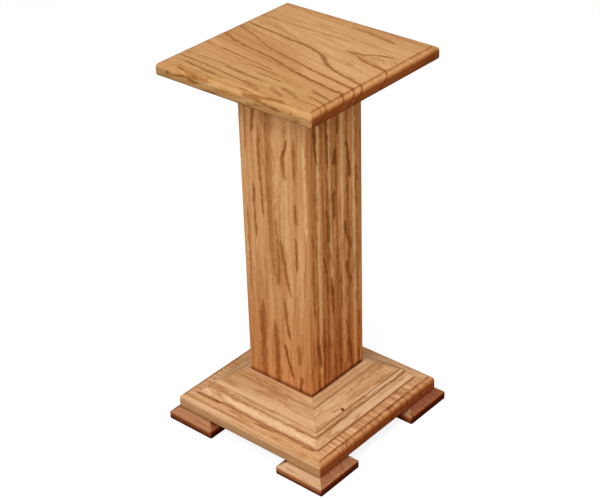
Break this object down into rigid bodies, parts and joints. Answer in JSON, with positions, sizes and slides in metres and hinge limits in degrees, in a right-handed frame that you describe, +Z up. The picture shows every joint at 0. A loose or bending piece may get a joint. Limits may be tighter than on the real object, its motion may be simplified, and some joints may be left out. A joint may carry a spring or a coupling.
{
  "type": "pedestal stand",
  "caption": "Oak pedestal column stand: square top with a routed edge, hollow mitred column, stepped base with sloped moulding and bevelled corner feet.",
  "frame": {"origin": "on the floor under the middle of the column, at the bottom centre of the feet", "axes": "+Z up the column; +X along the grain of the top; -Y is the front, the side of the narrow top board"},
  "size_m": [0.3364, 0.3364, 0.6604],
  "materials": {
    "top_oak": "satin",
    "column_oak": "satin",
    "base_oak": "satin",
    "foot_oak": "satin",
    "hidden_oak": "matte",
    "zinc_steel": "satin"
  },
  "bodies": {
    "root": {"top_wide_board": "top_oak", "top_front_board": "top_oak", "top_cleat": "hidden_oak", "top_cleat_screw_1": "zinc_steel", "top_cleat_screw_2": "zinc_steel", "top_cleat_screw_3": "zinc_steel", "top_cleat_screw_4": "zinc_steel", "column_front_board": "column_oak", "column_right_board": "column_oak", "column_back_board": "column_oak", "column_left_board": "column_oak", "column_base_block": "hidden_oak", "collar_trim_front": "base_oak", "collar_trim_right": "base_oak", "collar_trim_back": "base_oak", "collar_trim_left": "base_oak", "base_moulding_front": "base_oak", "base_moulding_right": "base_oak", "base_moulding_back": "base_oak", "base_moulding_left": "base_oak", "moulding_brad_front_1": "zinc_steel", "moulding_brad_front_2": "zinc_steel", "moulding_brad_right_1": "zinc_steel", "moulding_brad_right_2": "zinc_steel", "moulding_brad_back_1": "zinc_steel", "moulding_brad_back_2": "zinc_steel", "moulding_brad_left_1": "zinc_steel", "moulding_brad_left_2": "zinc_steel", "base_plate": "base_oak", "base_plate_screw_1": "zinc_steel", "base_plate_screw_2": "zinc_steel", "base_plate_screw_3": "zinc_steel", "base_plate_screw_4": "zinc_steel", "foot_front_right": "foot_oak", "foot_back_right": "foot_oak", "foot_back_left": "foot_oak", "foot_front_left": "foot_oak", "foot_screw_front_right_1": "zinc_steel", "foot_screw_front_right_2": "zinc_steel", "foot_screw_back_right_1": "zinc_steel", "foot_screw_back_right_2": "zinc_steel", "foot_screw_back_left_1": "zinc_steel", "foot_screw_back_left_2": "zinc_steel", "foot_screw_front_left_1": "zinc_steel", "foot_screw_front_left_2": "zinc_steel"}
  },
  "joints": []
}
